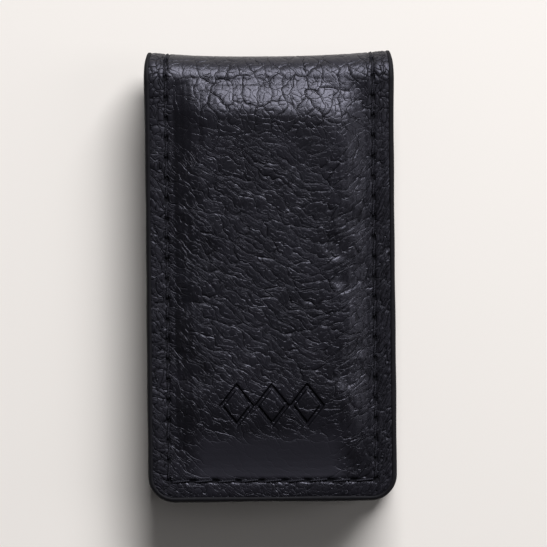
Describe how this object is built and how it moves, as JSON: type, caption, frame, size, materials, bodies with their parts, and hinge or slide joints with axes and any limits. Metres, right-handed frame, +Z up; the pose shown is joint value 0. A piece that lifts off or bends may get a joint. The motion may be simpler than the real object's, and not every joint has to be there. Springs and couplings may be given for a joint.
{
  "type": "money clip",
  "caption": "Folded leather money clip with padded arms, hidden magnets in their padding and a slot for folded notes.",
  "frame": {"origin": "middle of the footprint, on the surface that the clip lies on", "axes": "+Y along the clip towards the fold, +X across it, +Z up from the rear arm to the front arm"},
  "size_m": [0.039, 0.07, 0.013],
  "materials": {
    "pebbled_leather": "black pebbled full-grain, semi-matt",
    "smooth_leather": "black smooth, matt",
    "edge_paint": "black edge paint, burnished",
    "black_thread": "black bonded twisted thread",
    "padding_board": "bonded leather board",
    "nickel_plate": "nickel-plated neodymium block"
  },
  "bodies": {
    "rear_arm": {"rear_outer_leather": "pebbled_leather", "rear_lining": "smooth_leather", "rear_padding": "padding_board", "rear_magnet": "nickel_plate", "rear_edge_coat": "edge_paint", "rear_needle_thread": "black_thread", "rear_bobbin_thread": "black_thread"},
    "fold_1": {"fold_1_outer_leather": "pebbled_leather", "fold_1_lining": "smooth_leather"},
    "fold_2": {"fold_2_outer_leather": "pebbled_leather", "fold_2_lining": "smooth_leather"},
    "fold_3": {"fold_3_outer_leather": "pebbled_leather", "fold_3_lining": "smooth_leather"},
    "fold_4": {"fold_4_outer_leather": "pebbled_leather", "fold_4_lining": "smooth_leather"},
    "fold_5": {"fold_5_outer_leather": "pebbled_leather", "fold_5_lining": "smooth_leather"},
    "front_arm": {"front_outer_leather": "pebbled_leather", "front_lining": "smooth_leather", "front_padding": "padding_board", "front_magnet": "nickel_plate", "front_edge_coat": "edge_paint", "front_needle_thread": "black_thread", "front_bobbin_thread": "black_thread"}
  },
  "joints": [
    {"name": "fold_joint_1", "type": "hinge", "parent": "rear_arm", "child": "fold_1", "pos_m": [0, 0.03132, 0.00305], "axis": [-1, 0, 0], "range_deg": [-0.68, 29], "stiffness_Nm_per_rad": 0.02},
    {"name": "fold_joint_2", "type": "hinge", "parent": "fold_1", "child": "fold_2", "pos_m": [0, 0.03293, 0.00397], "axis": [-1, 0, 0], "range_deg": [-0.68, 29], "stiffness_Nm_per_rad": 0.02},
    {"name": "fold_joint_3", "type": "hinge", "parent": "fold_2", "child": "fold_3", "pos_m": [0, 0.03385, 0.00558], "axis": [-1, 0, 0], "range_deg": [-0.68, 29], "stiffness_Nm_per_rad": 0.02},
    {"name": "fold_joint_4", "type": "hinge", "parent": "fold_3", "child": "fold_4", "pos_m": [0, 0.03385, 0.00742], "axis": [-1, 0, 0], "range_deg": [-0.68, 29], "stiffness_Nm_per_rad": 0.02},
    {"name": "fold_joint_5", "type": "hinge", "parent": "fold_4", "child": "fold_5", "pos_m": [0, 0.03293, 0.00903], "axis": [-1, 0, 0], "range_deg": [-0.68, 29], "stiffness_Nm_per_rad": 0.02},
    {"name": "fold_joint_6", "type": "hinge", "parent": "fold_5", "child": "front_arm", "pos_m": [0, 0.03132, 0.00995], "axis": [-1, 0, 0], "range_deg": [-0.68, 29], "stiffness_Nm_per_rad": 0.02}
  ],
  "couplings": [
    {"joint": "fold_joint_2", "follows": "fold_joint_1", "ratio": 1},
    {"joint": "fold_joint_3", "follows": "fold_joint_1", "ratio": 1},
    {"joint": "fold_joint_4", "follows": "fold_joint_1", "ratio": 1},
    {"joint": "fold_joint_5", "follows": "fold_joint_1", "ratio": 1},
    {"joint": "fold_joint_6", "follows": "fold_joint_1", "ratio": 1}
  ]
}
